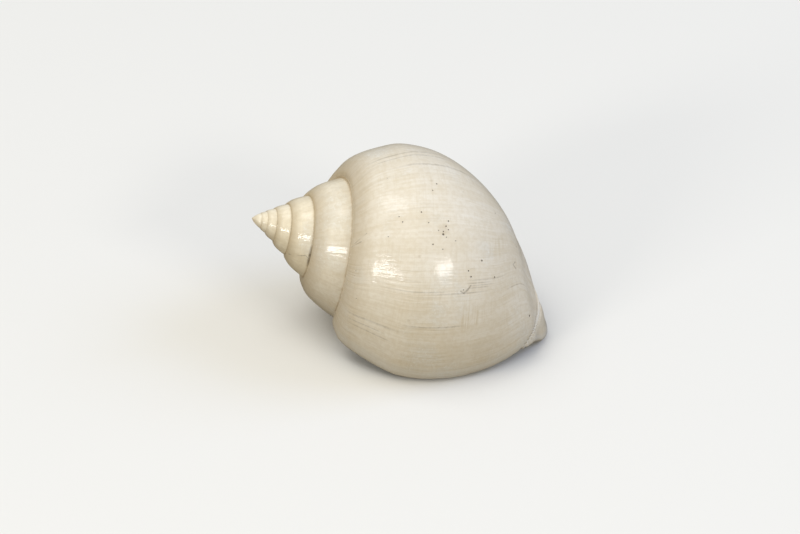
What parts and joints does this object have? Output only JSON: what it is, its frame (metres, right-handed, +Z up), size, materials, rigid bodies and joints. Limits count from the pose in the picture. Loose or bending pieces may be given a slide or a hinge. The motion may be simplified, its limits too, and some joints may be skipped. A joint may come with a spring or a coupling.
{
  "type": "fossil moon snail shell",
  "caption": "Cream fossil moon snail shell with a round last whorl and a stepped pointed spire, hollow behind its mouth, lying mouth down.",
  "frame": {"origin": "on the ground, under the middle of the lying shell's box", "axes": "+X from the apex towards the front end of the shell, +Y away from the outer lip, +Z up"},
  "size_m": [0.0414, 0.032, 0.0261],
  "materials": {
    "fossil_shell": "satin cream fossil shell with fine growth lines"
  },
  "bodies": {
    "root": {"shell": "fossil_shell"}
  },
  "joints": []
}
